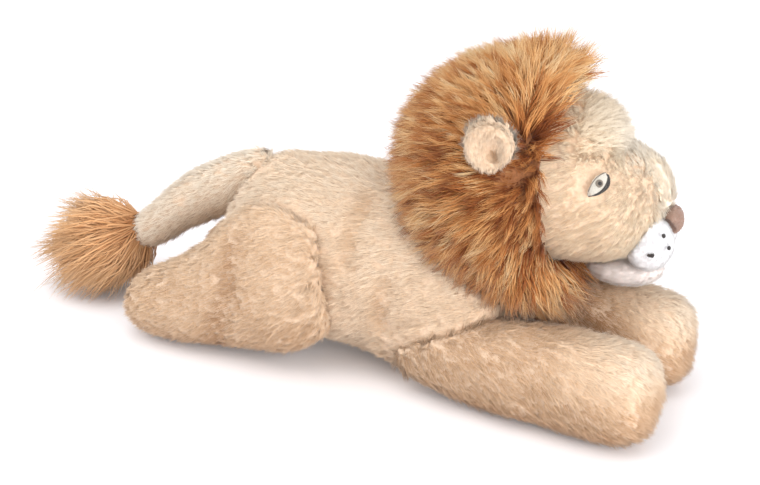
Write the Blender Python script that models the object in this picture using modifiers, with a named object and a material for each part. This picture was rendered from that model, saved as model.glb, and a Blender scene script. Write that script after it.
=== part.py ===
"""Plush lion that lies on its belly, with a long-pile mane and its head turned to its left.

The lion faces +X, its left is +Y and +Z is up. The origin is the middle of the flat on which the
chest rests. Every soft form is an oval loft: a sphere's rings moved to stations along a spine and
rounded by Subdivision Surface. The smaller forms are cut by the larger ones they are sewn to, and
a form that moves is cut by what it would sweep through.
"""

import math
from collections import namedtuple

import bmesh
import bpy
from mathutils import Matrix, Vector
from mathutils.bvhtree import BVHTree

# Fabric and fits
PLUSH_THICKNESS = 0.005
SEAM_GAP = 0.0004
FILLING_GAP = 0.0006
RESTING_DEPTH = 0.0005
CUTTER_OVERRUN = 0.06

# Trunk
BODY_LENGTH = 0.156
BODY_WIDTH = 0.080
BODY_HEIGHT = 0.092
BODY_BEHIND_ORIGIN = 0.110
NECK_OPENING_RADIUS = 0.014
NECK_OPENING_AHEAD = 0.014

# Neck seam, where the head turns about an upright line
NECK_AHEAD = 0.007
HEAD_YAW = math.radians(14)
HEAD_SWING = math.radians(15)

# Head, from its back to the tip of the muzzle
HEAD_LENGTH = 0.097
HEAD_WIDTH = 0.080
HEAD_HEIGHT = 0.080
MUZZLE_REACH = 0.093
HEAD_LIFT = 0.057

# Panels and pads of the face
BRIDGE_WIDTH = 0.018
BRIDGE_THICKNESS = 0.0022
BRIDGE_LENGTH = 0.034
LIP_LENGTH = 0.023
LIP_WIDTH = 0.022
LIP_HEIGHT = 0.025
LIP_SPACING = 0.020
NOSE_LENGTH = 0.013
NOSE_WIDTH = 0.017
NOSE_HEIGHT = 0.014
CHIN_LENGTH = 0.034
CHIN_WIDTH = 0.026
CHIN_HEIGHT = 0.014
EYE_LENGTH = 0.011
EYE_HEIGHT = 0.007
EYE_THICKNESS = 0.0032
EYE_SLANT = math.radians(50)
SPOT_DIAMETER = 0.0024

# Mane hood round the head
MANE_LENGTH = 0.076
MANE_WIDTH = 0.112
MANE_HEIGHT = 0.110
MANE_BEHIND_NECK = 0.027
MANE_LIFT = 0.043
MANE_HEM_HEIGHT = 0.0495

# Ears, each folding about the line along its base
EAR_DIAMETER = 0.025
EAR_THICKNESS = 0.009
EAR_LINING_THICKNESS = 0.0022
EAR_AHEAD_OF_NECK = 0.0245
EAR_HEIGHT = 0.130
EAR_SEAT_DEPTH = 0.004
EAR_FOLD = math.radians(12)

# Front legs, each swinging out about an upright line at the rear of its seam
FRONT_LEG_LENGTH = 0.142
FRONT_LEG_WIDTH = 0.046
FRONT_LEG_HEIGHT = 0.048
FRONT_LEG_SPACING = 0.055
FRONT_LEG_BEHIND_ORIGIN = 0.020
LEFT_LEG_DRAWN_BACK = 0.004

# Hind legs, each swinging out about an upright line at the front of its seam
HIND_LEG_LENGTH = 0.131
HIND_LEG_WIDTH = 0.046
HIND_LEG_HEIGHT = 0.086
HIND_LEG_SPACING = 0.068
HIND_LEG_BEHIND_ORIGIN = 0.154

# Tail tube and its tuft, swept to the lion's right and rising about the top of the root
TAIL_LENGTH = 0.120
TAIL_DIAMETER = 0.024
TAIL_SWAY = math.radians(3)
TAIL_ROOT_BEHIND = 0.074
TAIL_ROOT_DEPTH = 0.014
TAIL_DROOP = math.radians(25)
TAIL_RAISE = math.radians(30)
TUFT_LENGTH = 0.050
TUFT_DIAMETER = 0.040
TUFT_LAP = 0.008
TUFT_DROOP = math.radians(25)

# Fineness of the forms
BIG_FORM_SIDES = 8
LIMB_SIDES = 6
OUTER_STEPS = 2
INNER_STEPS = 1
SWEEP_STOPS = 5
HULL_FLATNESS = math.radians(2)

# Stations of each form, from pole to pole: along the length, middle of the height, half width and
# half height
BODY_SHARES = (
    (0.00, 0.56, 0.00, 0.00),
    (0.07, 0.56, 0.31, 0.27),
    (0.28, 0.54, 0.54, 0.48),
    (0.58, 0.49, 0.45, 0.48),
    (0.80, 0.46, 0.50, 0.51),
    (0.95, 0.46, 0.38, 0.36),
    (1.00, 0.46, 0.00, 0.00),
)
HEAD_SHARES = (
    (0.00, 0.55, 0.00, 0.00),
    (0.10, 0.55, 0.37, 0.38),
    (0.32, 0.55, 0.53, 0.53),
    (0.59, 0.49, 0.49, 0.45),
    (0.88, 0.31, 0.36, 0.30),
    (1.00, 0.29, 0.00, 0.00),
)
MANE_SHARES = (
    (0.00, 0.36, 0.00, 0.00),
    (0.10, 0.39, 0.30, 0.30),
    (0.40, 0.46, 0.50, 0.48),
    (0.76, 0.50, 0.55, 0.55),
    (0.95, 0.51, 0.43, 0.45),
    (1.00, 0.51, 0.00, 0.00),
)
FRONT_LEG_SHARES = (
    (0.00, 0.52, 0.00, 0.00),
    (0.10, 0.46, 0.27, 0.36),
    (0.38, 0.48, 0.46, 0.49),
    (0.65, 0.49, 0.46, 0.50),
    (0.91, 0.49, 0.57, 0.55),
    (1.00, 0.49, 0.00, 0.00),
)
HIND_LEG_SHARES = (
    (0.00, 0.14, 0.00, 0.00),
    (0.13, 0.19, 0.52, 0.22),
    (0.46, 0.30, 0.45, 0.29),
    (0.67, 0.54, 0.50, 0.51),
    (0.90, 0.57, 0.25, 0.33),
    (1.00, 0.59, 0.00, 0.00),
)
TAIL_SHARES = (
    (0.00, 0.00, 0.00, 0.00),
    (0.07, 0.06, 0.52, 0.52),
    (0.47, 0.48, 0.55, 0.55),
    (0.94, 0.00, 0.47, 0.47),
    (1.00, 0.00, 0.00, 0.00),
)
TUFT_SHARES = (
    (0.00, 0.00, 0.00, 0.00),
    (0.10, 0.00, 0.34, 0.34),
    (0.62, 0.00, 0.58, 0.56),
    (0.93, 0.00, 0.46, 0.42),
    (1.00, 0.00, 0.00, 0.00),
)

# Places on the face: ahead along the head's length, and up from its base along its height
BRIDGE_END_SHARE = 1.03
NOSE_PLACE_SHARES = (1.02, 0.32)
LIP_PLACE_SHARES = (0.94, 0.22)
CHIN_PLACE_SHARES = (0.83, 0.02)
EYE_PLACE_SHARES = (0.72, 0.64)
SPOT_PLACE_SHARES = ((0.22, 0.30), (0.06, 0.00), (0.33, 0.10))
EAR_SCOOP_SHARE = 0.68

# Red, green and blue of each finish
PLUSH_COLOUR = (0.79, 0.58, 0.42)
PALE_PLUSH_COLOUR = (0.90, 0.78, 0.62)
WHITE_PLUSH_COLOUR = (0.86, 0.86, 0.88)
CHIN_COLOUR = (0.80, 0.66, 0.60)
MANE_COLOUR = (0.42, 0.17, 0.06)
TUFT_COLOUR = (0.58, 0.30, 0.14)
NOSE_COLOUR = (0.30, 0.17, 0.13)
EYE_COLOUR = (0.06, 0.05, 0.04)
SPOT_COLOUR = (0.01, 0.01, 0.01)
FILLING_COLOUR = (0.90, 0.90, 0.88)
PLUSH_ROUGHNESS = 0.9
THREAD_ROUGHNESS = 0.5

UP = Vector((0, 0, 1))
LEFTWARD = Vector((0, 1, 0))
FORWARD = Vector((1, 0, 0))
SIDES = {"left": 1, "right": -1}

Form = namedtuple("Form", "skin filling clearance")


# Collections, materials and modifiers

def clear_scene():
    for obj in list(bpy.data.objects):
        bpy.data.objects.remove(obj, do_unlink=True)


def new_collection(name):
    collection = bpy.data.collections.new(name)
    bpy.context.scene.collection.children.link(collection)
    return collection


clear_scene()
LION = new_collection("plush_lion")
CUTTERS = new_collection("cutters")


def fabric_material(name, colour, roughness):
    material = bpy.data.materials.new(name)
    material.use_nodes = True
    shader = material.node_tree.nodes["Principled BSDF"]
    shader.inputs["Base Color"].default_value = (*colour, 1)
    shader.inputs["Roughness"].default_value = roughness
    shader.inputs["Metallic"].default_value = 0
    return material


def add_modifier(obj, kind, **settings):
    modifier = obj.modifiers.new(kind.title(), kind)
    for key, value in settings.items():
        setattr(modifier, key, value)


def as_piece(obj, colour, roughness=PLUSH_ROUGHNESS):
    obj.data.materials.append(fabric_material(obj.name, colour, roughness))
    obj.data.shade_smooth()
    LION.objects.link(obj)
    return obj


def as_cutter(obj):
    obj.hide_render = True
    obj.display_type = "WIRE"
    CUTTERS.objects.link(obj)
    return obj


def cut(pieces, cutters):
    for piece in pieces:
        for cutter in cutters:
            add_modifier(piece, "BOOLEAN", operation="DIFFERENCE", solver="EXACT", object=cutter)


def keep_inside(piece, cutter):
    add_modifier(piece, "BOOLEAN", operation="INTERSECT", solver="EXACT", object=cutter)


# Shapes

def mesh_object(name, bm):
    mesh = bpy.data.meshes.new(name)
    bm.to_mesh(mesh)
    bm.free()
    return bpy.data.objects.new(name, mesh)


def stations_from(shares, start, run, width, height):
    """Centres and half sizes of the rings of a form that runs from start along run."""
    stations = []
    for along, middle, half_width, half_height in shares:
        centre = start + run * along + UP * (height * middle)
        stations.append((centre, width * half_width, height * half_height))
    return stations


def ring_axes(stations, place):
    """Sideways and upward directions of one ring, square to the spine there."""
    before = stations[max(place - 1, 0)][0]
    after = stations[min(place + 1, len(stations) - 1)][0]
    spine = (after - before).normalized()
    sideways = UP.cross(spine).normalized()
    return sideways, spine.cross(sideways)


def soft_cage(name, stations, sides):
    """A sphere with its rings moved to the stations, wide enough to round down to their sizes."""
    spans = len(stations) - 1
    swell = 6 / (4 + 2 * math.cos(math.tau / sides))
    bm = bmesh.new()
    bmesh.ops.create_uvsphere(bm, u_segments=sides, v_segments=spans, radius=1)
    for vertex in bm.verts:
        place = round(math.acos(max(-1, min(1, -vertex.co.z))) * spans / math.pi)
        centre, half_width, half_height = stations[place]
        sideways, upward = ring_axes(stations, place)
        turn = math.atan2(vertex.co.y, vertex.co.x)
        across = sideways * (math.cos(turn) * half_width * swell)
        vertex.co = centre + across + upward * (math.sin(turn) * half_height * swell)
    return mesh_object(name, bm)


def soft_form(name, stations, sides, steps, offset=0):
    """The rounded cage, grown by offset along its normals."""
    obj = soft_cage(name, stations, sides)
    add_modifier(obj, "SUBSURF", levels=steps, render_levels=steps)
    if offset:
        add_modifier(obj, "DISPLACE", strength=offset, mid_level=0)
    return obj


def stuffed_form(name, filling_name, stations, sides):
    """A plush shell, its filling, and the grown form that clears its outside."""
    skin = as_piece(soft_form(name, stations, sides, OUTER_STEPS), PLUSH_COLOUR)
    wall = PLUSH_THICKNESS
    hollow = as_cutter(soft_form(name + "_hollow", stations, sides, INNER_STEPS, -wall))
    cut([skin], [hollow])
    core = soft_form(filling_name, stations, sides, INNER_STEPS, -wall - FILLING_GAP)
    filling = as_piece(core, FILLING_COLOUR)
    grown = soft_form(name + "_clearance", stations, sides, OUTER_STEPS, SEAM_GAP)
    return Form(skin, filling, as_cutter(grown))


def box(name, low, high):
    bm = bmesh.new()
    bmesh.ops.create_cube(bm, size=1)
    bmesh.ops.scale(bm, vec=high - low, verts=bm.verts)
    bmesh.ops.translate(bm, vec=(low + high) / 2, verts=bm.verts)
    return mesh_object(name, bm)


def oval(name, centre, half_sizes, turn, segments=16, rings=10):
    """A sphere stretched to three half sizes, turned and set at its centre."""
    bm = bmesh.new()
    bmesh.ops.create_uvsphere(bm, u_segments=segments, v_segments=rings, radius=1)
    bmesh.ops.scale(bm, vec=half_sizes, verts=bm.verts)
    bmesh.ops.rotate(bm, cent=(0, 0, 0), matrix=turn, verts=bm.verts)
    bmesh.ops.translate(bm, vec=centre, verts=bm.verts)
    return mesh_object(name, bm)


def grown_cutter(piece, gap):
    """A cutter that follows a piece's shape as it is now, grown by a gap."""
    cutter = piece.copy()
    cutter.name = piece.name + "_clearance"
    cutter.data = piece.data.copy()
    cutter.data.materials.clear()
    add_modifier(cutter, "DISPLACE", strength=gap, mid_level=0)
    return as_cutter(cutter)


def surface_of(form):
    """A form's surface as its modifiers leave it."""
    bpy.context.view_layer.update()
    bm = bmesh.new()
    bm.from_object(form, bpy.context.evaluated_depsgraph_get())
    return bm


def swept_hull(name, form, pivot, axis, low, high, reach):
    """The hull of what a form near a pivot covers while it turns from low to high."""
    surface = surface_of(form)
    near = [vertex.co - pivot for vertex in surface.verts if (vertex.co - pivot).length < reach]
    surface.free()
    hull = bmesh.new()
    for stop in range(SWEEP_STOPS):
        angle = low + (high - low) * stop / (SWEEP_STOPS - 1)
        turn = Matrix.Rotation(angle, 3, axis)
        for arm in near:
            hull.verts.new(pivot + turn @ arm)
    found = bmesh.ops.convex_hull(hull, input=hull.verts)
    inside = {part for part in found["geom_interior"] if isinstance(part, bmesh.types.BMVert)}
    bmesh.ops.delete(hull, geom=list(inside), context="VERTS")
    bmesh.ops.dissolve_limit(hull, angle_limit=HULL_FLATNESS, verts=hull.verts, edges=hull.edges)
    return as_cutter(mesh_object(name, hull))


def meeting_point(form, start, direction):
    """Where a straight line meets a form's surface, and the surface's outward normal there."""
    surface = surface_of(form)
    point, normal, _, _ = BVHTree.FromBMesh(surface).ray_cast(start, direction)
    surface.free()
    return point, normal


def facing_turn(normal, upward):
    """A turn that takes +Z to a surface's normal and keeps +Y near an upward direction."""
    side = upward.cross(normal).normalized()
    return Matrix((side, normal.cross(side), normal)).transposed()


def joint(name, pivot, pieces, parent=None):
    """An empty on a joint's axis that carries the pieces."""
    empty = bpy.data.objects.new(name, None)
    empty.location = pivot
    LION.objects.link(empty)
    bpy.context.view_layer.update()
    if parent:
        empty.parent = parent
        empty.matrix_parent_inverse = parent.matrix_world.inverted()
        bpy.context.view_layer.update()
    for piece in pieces:
        piece.parent = empty
        piece.matrix_parent_inverse = empty.matrix_world.inverted()
    return empty


# Trunk

def make_ground():
    reach = BODY_LENGTH + TAIL_LENGTH + TUFT_LENGTH
    low = Vector((-reach, -MANE_WIDTH, -CUTTER_OVERRUN))
    return as_cutter(box("ground", low, Vector((reach, MANE_WIDTH, 0))))


def make_body(ground):
    start = Vector((-BODY_BEHIND_ORIGIN, 0, -RESTING_DEPTH))
    run = FORWARD * BODY_LENGTH
    stations = stations_from(BODY_SHARES, start, run, BODY_WIDTH, BODY_HEIGHT)
    body = stuffed_form("body_skin", "body_filling", stations, BIG_FORM_SIDES)
    bm = bmesh.new()
    bmesh.ops.create_cone(
        bm, cap_ends=True, segments=24, radius1=NECK_OPENING_RADIUS,
        radius2=NECK_OPENING_RADIUS, depth=BODY_HEIGHT,
    )
    bmesh.ops.translate(bm, vec=(NECK_OPENING_AHEAD, 0, BODY_HEIGHT), verts=bm.verts)
    opening = as_cutter(mesh_object("neck_opening", bm))
    cut([body.skin], [ground, opening])
    return body


# Head and face

def head_turn():
    return Matrix.Rotation(HEAD_YAW, 3, UP)


def head_point(along_share, height_share):
    """A point on the head's middle plane."""
    reach = MUZZLE_REACH - HEAD_LENGTH * (1 - along_share)
    height = HEAD_LIFT + HEAD_HEIGHT * height_share
    return FORWARD * NECK_AHEAD + head_turn() @ FORWARD * reach + UP * height


def head_stations():
    run = head_turn() @ FORWARD * HEAD_LENGTH
    return stations_from(HEAD_SHARES, head_point(0, 0), run, HEAD_WIDTH, HEAD_HEIGHT)


def make_head(body_sweep):
    head = stuffed_form("head_skin", "head_filling", head_stations(), BIG_FORM_SIDES)
    cut([head.skin, head.filling], [body_sweep])
    return head


def make_pad(name, centre, sizes, turn, colour, roughness=PLUSH_ROUGHNESS, segments=12, rings=8):
    """A small stuffed or stitched pad, and the grown form that clears it."""
    halves = Vector(sizes) / 2
    pad = as_piece(oval(name, centre, halves, turn, segments, rings), colour, roughness)
    grown = halves + Vector((SEAM_GAP, SEAM_GAP, SEAM_GAP))
    clearance = as_cutter(oval(name + "_clearance", centre, grown, turn, segments, rings))
    return pad, clearance


def make_bridge(head):
    """The pale panel that lies along the top of the muzzle, up to the nose."""
    bridge = soft_form(
        "nose_bridge", head_stations(), BIG_FORM_SIDES, OUTER_STEPS, BRIDGE_THICKNESS
    )
    as_piece(bridge, PALE_PLUSH_COLOUR)
    size = Vector((BRIDGE_LENGTH, BRIDGE_WIDTH, HEAD_HEIGHT))
    strip = as_cutter(box("bridge_strip", -size / 2, size / 2))
    nose_top = head_point(BRIDGE_END_SHARE, NOSE_PLACE_SHARES[1]) + UP * (NOSE_HEIGHT / 2)
    middle = nose_top + UP * (HEAD_HEIGHT / 2) - head_turn() @ FORWARD * (BRIDGE_LENGTH / 2)
    strip.matrix_world = Matrix.Translation(middle) @ head_turn().to_4x4()
    keep_inside(bridge, strip)
    cut([bridge], [head.clearance])
    return bridge


def make_muzzle(head, bridge):
    """White lip pads either side of a slit, the chin under them and the nose above."""
    turn = head_turn()
    half = Vector((HEAD_LENGTH, HEAD_WIDTH, HEAD_HEIGHT)) / 2
    lip_sizes = (LIP_LENGTH, LIP_WIDTH, LIP_HEIGHT)
    lips = {}
    lip_clearances = []
    for side_name, side in SIDES.items():
        outward = turn @ LEFTWARD * side
        middle = head_point(*LIP_PLACE_SHARES)
        lip, clearance = make_pad(
            "lip_" + side_name, middle + outward * (LIP_SPACING / 2), lip_sizes, turn,
            WHITE_PLUSH_COLOUR,
        )
        other_half = as_cutter(box("beyond_lip_" + side_name, -half, half))
        beyond = middle - outward * (HEAD_WIDTH / 2 - SEAM_GAP)
        other_half.matrix_world = Matrix.Translation(beyond) @ turn.to_4x4()
        cut([lip], [head.clearance, other_half])
        lips[side_name] = lip
        lip_clearances.append(clearance)
    chin_sizes = (CHIN_LENGTH, CHIN_WIDTH, CHIN_HEIGHT)
    chin, _ = make_pad("chin", head_point(*CHIN_PLACE_SHARES), chin_sizes, turn, CHIN_COLOUR)
    cut([chin], [head.clearance, *lip_clearances])
    nose_sizes = (NOSE_LENGTH, NOSE_WIDTH, NOSE_HEIGHT)
    nose, nose_clearance = make_pad(
        "nose", head_point(*NOSE_PLACE_SHARES), nose_sizes, turn, NOSE_COLOUR
    )
    cut([nose], [head.clearance, *lip_clearances])
    cut([bridge], [nose_clearance])
    return lips, [chin, nose]


def make_eye(side_name, side, head):
    outward = head_turn() @ LEFTWARD * side
    start = head_point(*EYE_PLACE_SHARES) + outward * HEAD_WIDTH
    point, normal = meeting_point(head.clearance, start, -outward)
    turn = facing_turn(normal, UP) @ Matrix.Rotation(-side * EYE_SLANT, 3, UP)
    sizes = (EYE_LENGTH, EYE_HEIGHT, EYE_THICKNESS)
    eye, _ = make_pad("eye_" + side_name, point, sizes, turn, EYE_COLOUR, THREAD_ROUGHNESS)
    cut([eye], [head.clearance])
    return eye


def make_spots(side_name, side, lip):
    """Stitched spots on one lip pad."""
    outward = head_turn() @ LEFTWARD * side
    ahead = head_turn() @ FORWARD
    lip_middle = head_point(*LIP_PLACE_SHARES) + outward * (LIP_SPACING / 2)
    lip_cutter = grown_cutter(lip, SEAM_GAP)
    spots = []
    for number, (ahead_share, up_share) in enumerate(SPOT_PLACE_SHARES, 1):
        place = lip_middle + ahead * (LIP_LENGTH * ahead_share) + UP * (LIP_HEIGHT * up_share)
        point, normal = meeting_point(lip, place + outward * LIP_WIDTH, -outward)
        sizes = (SPOT_DIAMETER, SPOT_DIAMETER, SPOT_DIAMETER)
        name = f"whisker_spot_{side_name}_{number}"
        turn = facing_turn(normal, UP)
        spot, _ = make_pad(name, point, sizes, turn, SPOT_COLOUR, THREAD_ROUGHNESS, 8, 6)
        cut([spot], [lip_cutter])
        spots.append(spot)
    return spots


# Mane and ears

def make_mane(head, body_sweep, ground_reach):
    ahead = head_turn() @ FORWARD
    start = FORWARD * NECK_AHEAD - ahead * MANE_BEHIND_NECK + UP * MANE_LIFT
    stations = stations_from(MANE_SHARES, start, ahead * MANE_LENGTH, MANE_WIDTH, MANE_HEIGHT)
    mane = as_piece(soft_form("mane", stations, BIG_FORM_SIDES, OUTER_STEPS), MANE_COLOUR)
    low = Vector((-ground_reach, -ground_reach, -CUTTER_OVERRUN))
    hem = as_cutter(box("mane_hem", low, Vector((ground_reach, ground_reach, MANE_HEM_HEIGHT))))
    cut([mane], [head.clearance, hem, body_sweep])
    plain = soft_form("mane_outside", stations, BIG_FORM_SIDES, OUTER_STEPS)
    return mane, as_cutter(plain)


def make_ear(side_name, side, mane, mane_outside):
    """A dished round ear and its lining, seated in a slot of the mane."""
    ahead = head_turn() @ FORWARD
    outward = head_turn() @ LEFTWARD * side
    base_height = EAR_HEIGHT - EAR_DIAMETER / 2 + EAR_SEAT_DEPTH
    inside = FORWARD * NECK_AHEAD + ahead * EAR_AHEAD_OF_NECK + UP * base_height
    base, _ = meeting_point(mane_outside, inside + outward * MANE_WIDTH, -outward)
    centre = base + UP * (EAR_HEIGHT - base_height)
    turn = facing_turn(outward, UP)
    ear_sizes = (EAR_DIAMETER, EAR_DIAMETER, EAR_THICKNESS)
    ear, clearance = make_pad("ear_" + side_name, centre, ear_sizes, turn, PLUSH_COLOUR)
    mouth = centre + outward * (EAR_THICKNESS / 2)
    scoop_width = EAR_DIAMETER * EAR_SCOOP_SHARE
    scoop_sizes = (scoop_width, scoop_width, EAR_THICKNESS)
    lining_name = "ear_lining_" + side_name
    lining, scoop = make_pad(lining_name, mouth, scoop_sizes, turn, PALE_PLUSH_COLOUR)
    cut([ear], [scoop])
    shallow = scoop.copy()
    shallow.name = lining_name + "_shallow"
    shallow.location = outward * EAR_LINING_THICKNESS
    cut([lining], [as_cutter(shallow)])
    slot_name = "ear_slot_" + side_name
    slot = swept_hull(slot_name, clearance, base, ahead, -EAR_FOLD, EAR_FOLD, 2 * EAR_DIAMETER)
    cut([mane], [slot])
    return ear, lining, base


# Limbs and tail

def make_front_leg(side_name, side, body, ground):
    """A front leg, and the joint at the rear end of its seam. The left leg lies a little further back."""
    behind = FRONT_LEG_BEHIND_ORIGIN + (LEFT_LEG_DRAWN_BACK if side > 0 else 0)
    start = Vector((-behind, side * FRONT_LEG_SPACING / 2, -RESTING_DEPTH))
    run = FORWARD * FRONT_LEG_LENGTH
    stations = stations_from(FRONT_LEG_SHARES, start, run, FRONT_LEG_WIDTH, FRONT_LEG_HEIGHT)
    names = ("front_leg_" + side_name, "front_leg_filling_" + side_name)
    leg = stuffed_form(*names, stations, LIMB_SIDES)
    cut([leg.skin, leg.filling], [body.clearance])
    cut([leg.skin], [ground])
    shoulder = start + UP * (FRONT_LEG_HEIGHT / 2)
    return joint("front_leg_joint_" + side_name, shoulder, [leg.skin, leg.filling])


def make_hind_leg(side_name, side, body, ground):
    """A hind leg, and the joint at the front end of its seam."""
    start = Vector((-HIND_LEG_BEHIND_ORIGIN, side * HIND_LEG_SPACING / 2, -RESTING_DEPTH))
    run = FORWARD * HIND_LEG_LENGTH
    stations = stations_from(HIND_LEG_SHARES, start, run, HIND_LEG_WIDTH, HIND_LEG_HEIGHT)
    names = ("hind_leg_" + side_name, "hind_leg_filling_" + side_name)
    leg = stuffed_form(*names, stations, LIMB_SIDES)
    cut([leg.skin, leg.filling], [body.clearance])
    cut([leg.skin], [ground])
    hip = start + run + UP * (HIND_LEG_HEIGHT / 2)
    return joint("hind_leg_joint_" + side_name, hip, [leg.skin, leg.filling])


def drooping(angle):
    """The tail's backward direction where it falls below the level by an angle."""
    level = Matrix.Rotation(TAIL_SWAY, 3, UP) @ -FORWARD
    return Matrix.Rotation(-angle, 3, tail_axis()) @ level


def tail_axis():
    return Matrix.Rotation(TAIL_SWAY, 3, UP) @ LEFTWARD


def make_tail(body):
    back = drooping(TAIL_DROOP)
    above = Vector((-TAIL_ROOT_BEHIND, 0, BODY_HEIGHT + BODY_WIDTH))
    hinge, _ = meeting_point(body.clearance, above, -UP)
    root = hinge - tail_axis().cross(back) * (TAIL_DIAMETER / 2) - back * TAIL_ROOT_DEPTH
    stations = stations_from(TAIL_SHARES, root, back * TAIL_LENGTH, TAIL_DIAMETER, TAIL_DIAMETER)
    tail = stuffed_form("tail_skin", "tail_filling", stations, LIMB_SIDES)
    root_sweep = swept_hull(
        "tail_sweep", body.clearance, hinge, tail_axis(), -TAIL_RAISE, 0, BODY_WIDTH
    )
    cut([tail.skin, tail.filling], [root_sweep])
    tuft_start = root + back * (TAIL_LENGTH - TUFT_LAP)
    tuft_run = drooping(TUFT_DROOP) * TUFT_LENGTH
    tuft_stations = stations_from(
        TUFT_SHARES, tuft_start, tuft_run, TUFT_DIAMETER, TUFT_DIAMETER
    )
    tuft = soft_form("tail_tuft", tuft_stations, LIMB_SIDES, OUTER_STEPS)
    as_piece(tuft, TUFT_COLOUR)
    cut([tuft], [tail.clearance])
    return tail, tuft, hinge


def make_lion():
    ground = make_ground()
    body = make_body(ground)
    neck = Vector((NECK_AHEAD, 0, BODY_HEIGHT))
    body_sweep = swept_hull(
        "neck_sweep", body.clearance, neck, UP, -HEAD_SWING, HEAD_SWING, BODY_HEIGHT
    )
    head = make_head(body_sweep)
    bridge = make_bridge(head)
    lips, small_pads = make_muzzle(head, bridge)
    mane, mane_outside = make_mane(head, body_sweep, BODY_LENGTH)
    head_pieces = [head.skin, head.filling, bridge, mane, *lips.values(), *small_pads]
    ears = {}
    for side_name, side in SIDES.items():
        head_pieces.append(make_eye(side_name, side, head))
        head_pieces.extend(make_spots(side_name, side, lips[side_name]))
        ears[side_name] = make_ear(side_name, side, mane, mane_outside)
    head_joint = joint("head_joint", neck, head_pieces)
    for side_name, (ear, lining, base) in ears.items():
        joint("ear_joint_" + side_name, base, [ear, lining], head_joint)
    for side_name, side in SIDES.items():
        make_front_leg(side_name, side, body, ground)
        make_hind_leg(side_name, side, body, ground)
    tail, tuft, hinge = make_tail(body)
    joint("tail_joint", hinge, [tail.skin, tail.filling, tuft])


make_lion()
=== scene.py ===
"""Plush lion: coats of short pile, a long-pile mane and tuft, the stitched face, and the studio.

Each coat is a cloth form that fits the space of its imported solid, with pile grown on it by Geometry
Nodes. A strand's colour follows its own UV map: tone across, and height from root to tip.
"""

import math

import bmesh
import bpy
import numpy as np
from mathutils import Matrix, Vector, noise
from mathutils.bvhtree import BVHTree


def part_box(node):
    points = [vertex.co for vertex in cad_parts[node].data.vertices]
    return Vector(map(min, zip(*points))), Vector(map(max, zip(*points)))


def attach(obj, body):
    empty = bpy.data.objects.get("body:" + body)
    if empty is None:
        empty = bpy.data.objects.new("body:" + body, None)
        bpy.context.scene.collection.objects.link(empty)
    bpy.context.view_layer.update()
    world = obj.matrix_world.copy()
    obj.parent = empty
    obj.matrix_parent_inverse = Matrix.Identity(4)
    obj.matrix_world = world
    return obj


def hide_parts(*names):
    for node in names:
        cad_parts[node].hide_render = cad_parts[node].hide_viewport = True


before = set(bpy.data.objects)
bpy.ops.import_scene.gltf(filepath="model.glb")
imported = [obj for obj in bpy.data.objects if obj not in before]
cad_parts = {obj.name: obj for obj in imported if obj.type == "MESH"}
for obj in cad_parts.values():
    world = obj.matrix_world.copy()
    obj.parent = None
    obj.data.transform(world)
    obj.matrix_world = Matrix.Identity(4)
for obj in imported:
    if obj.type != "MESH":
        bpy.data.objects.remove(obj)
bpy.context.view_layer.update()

# The photograph's view, in metres and degrees
VIEW_AZIMUTH = math.radians(28)
VIEW_ELEVATION = math.radians(24)
VIEW_DISTANCE = 0.8
VIEW_TARGET = Vector((-0.030, 0, 0.054))
VIEW_LENS = 83.37
SENSOR_WIDTH = 36

# Axes of the turned head
HEAD_YAW = math.radians(14)
UP = Vector((0, 0, 1))
FORWARD = Vector((1, 0, 0))
LEFTWARD = Vector((0, 1, 0))
HEAD_AHEAD = Matrix.Rotation(HEAD_YAW, 3, UP) @ FORWARD
HEAD_LEFT = Matrix.Rotation(HEAD_YAW, 3, UP) @ LEFTWARD
NECK = np.array((0.007, 0, 0))
SIDES = {"left": 1, "right": -1}

# Cloth under the pile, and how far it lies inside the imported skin
CLOTH_VOXEL = 0.0022
PAD_VOXEL = 0.0009
CLOTH_INSET = 0.0030
FILLING_COVER = 0.0018
FLOOR_GAP = 0.0005

# Thickness of a packed skin, and how deep inside a solid a point still counts as covered by it
SKIN_WALL = 0.0056
DEEPEST_COVERED = 0.02

# Pile lengths
COAT_PILE = 0.0052
LEG_PILE = 0.0056
FACE_PILE = 0.0046
BROW_PILE = 0.0080
BRIDGE_PILE = 0.0046
PAD_PILE = 0.0016
EAR_PILE = 0.0042
MANE_PILE = 0.0160
TUFT_PILE = 0.0390

# Locks of pile for each square metre
COAT_DENSITY = 275000
FACE_DENSITY = 370000
BROW_DENSITY = 500000
PAD_DENSITY = 1100000
EAR_DENSITY = 800000
MANE_DENSITY = 270000
TUFT_DENSITY = 900000

SEED = 7

# Studio: the floor, the light from all round, and lamps as name, place, watts and size
FLOOR_SIZE = 6
FLOOR_COLOUR = (0.90, 0.875, 0.885, 1)
FLOOR_GLOW = 0.06
WORLD_LIGHT = 0.78
LAMPS = (
    ("top_softbox", (-0.25, -0.50, 1.2), 6, 1.0),
    ("left_softbox", (-1.0, -0.5, 0.7), 3.5, 0.8),
    ("front_fill", (0.95, -0.65, 0.40), 12.0, 0.9),
    ("far_fill", (0.2, 1.0, 0.6), 4.0, 0.9),
)


# Materials

def new_material(name):
    material = bpy.data.materials.new(name)
    material.use_nodes = True
    tree = material.node_tree
    return material, tree, tree.nodes["Principled BSDF"]


def ramp(tree, factor, stops):
    """A colour ramp with its stops as (place, colour)."""
    node = tree.nodes.new("ShaderNodeValToRGB")
    elements = node.color_ramp.elements
    while len(elements) > 1:
        elements.remove(elements[-1])
    elements[0].position, elements[0].color = stops[0][0], (*stops[0][1], 1)
    for place, colour in stops[1:]:
        elements.new(place).color = (*colour, 1)
    tree.links.new(factor, node.inputs["Fac"])
    return node.outputs["Color"]


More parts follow.
